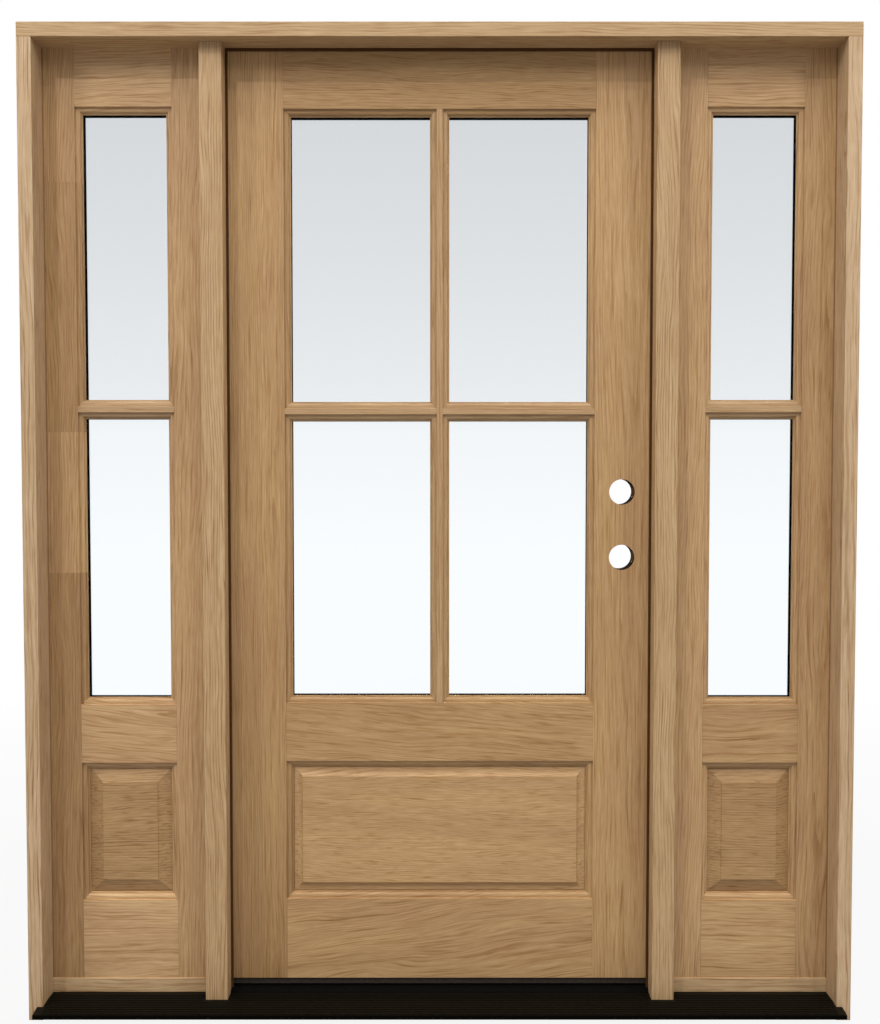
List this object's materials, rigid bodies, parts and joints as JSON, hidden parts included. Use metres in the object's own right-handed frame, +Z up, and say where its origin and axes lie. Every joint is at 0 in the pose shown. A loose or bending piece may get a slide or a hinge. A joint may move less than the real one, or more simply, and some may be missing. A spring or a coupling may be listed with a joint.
{
  "type": "entry door with sidelights",
  "caption": "Prehung oak entry door with divided glass over a raised panel, hung between fixed glazed sidelights in a rabbeted frame with a dark metal sill; bored for a latch and a deadbolt.",
  "frame": {"origin": "middle of the flat underside of the sill, halfway through the depth of the frame", "axes": "+X to the right seen from outside, +Y into the building, +Z up"},
  "size_m": [1.728, 0.158, 2.07],
  "materials": {
    "oak": "clear satin",
    "sill_core": "raw composite",
    "black_aluminium": "black anodised, ribbed",
    "black_cap": "matt black",
    "seal": "dull foam skin",
    "sweep": "dull",
    "glass": "clear",
    "spacer": "matt black",
    "hinge_steel": "satin"
  },
  "bodies": {
    "frame": {"head_jamb": "oak", "left_jamb": "oak", "right_jamb": "oak", "left_post": "oak", "right_post": "oak", "sidelight_fillers": "oak", "sidelight_stops": "oak", "left_sidelight_outer_stile": "oak", "left_sidelight_inner_stile": "oak", "left_sidelight_top_rail": "oak", "left_sidelight_mid_rail": "oak", "left_sidelight_bottom_rail": "oak", "left_sidelight_muntin": "oak", "left_sidelight_panel": "oak", "left_sidelight_beads": "oak", "right_sidelight_outer_stile": "oak", "right_sidelight_inner_stile": "oak", "right_sidelight_top_rail": "oak", "right_sidelight_mid_rail": "oak", "right_sidelight_bottom_rail": "oak", "right_sidelight_muntin": "oak", "right_sidelight_panel": "oak", "right_sidelight_beads": "oak", "sill_base": "sill_core", "sill_tread": "black_aluminium", "threshold_cap": "black_cap", "door_weatherstrip": "seal", "left_sidelight_glass": "glass", "right_sidelight_glass": "glass", "left_sidelight_spacers": "spacer", "right_sidelight_spacers": "spacer", "hinge_frame_leaves": "hinge_steel", "hinge_pins": "hinge_steel"},
    "door": {"door_hinge_stile": "oak", "door_latch_stile": "oak", "door_top_rail": "oak", "door_mid_rail": "oak", "door_bottom_rail": "oak", "door_upright_muntin": "oak", "door_left_muntin": "oak", "door_right_muntin": "oak", "door_panel": "oak", "door_beads": "oak", "door_glass": "glass", "door_spacers": "spacer", "door_sweep": "sweep", "hinge_door_leaves": "hinge_steel"}
  },
  "joints": [
    {"name": "door_hinge", "type": "hinge", "parent": "frame", "child": "door", "pos_m": [-0.4605, 0.064, 1.06], "axis": [0, 0, 1], "range_deg": [0, 170]}
  ]
}
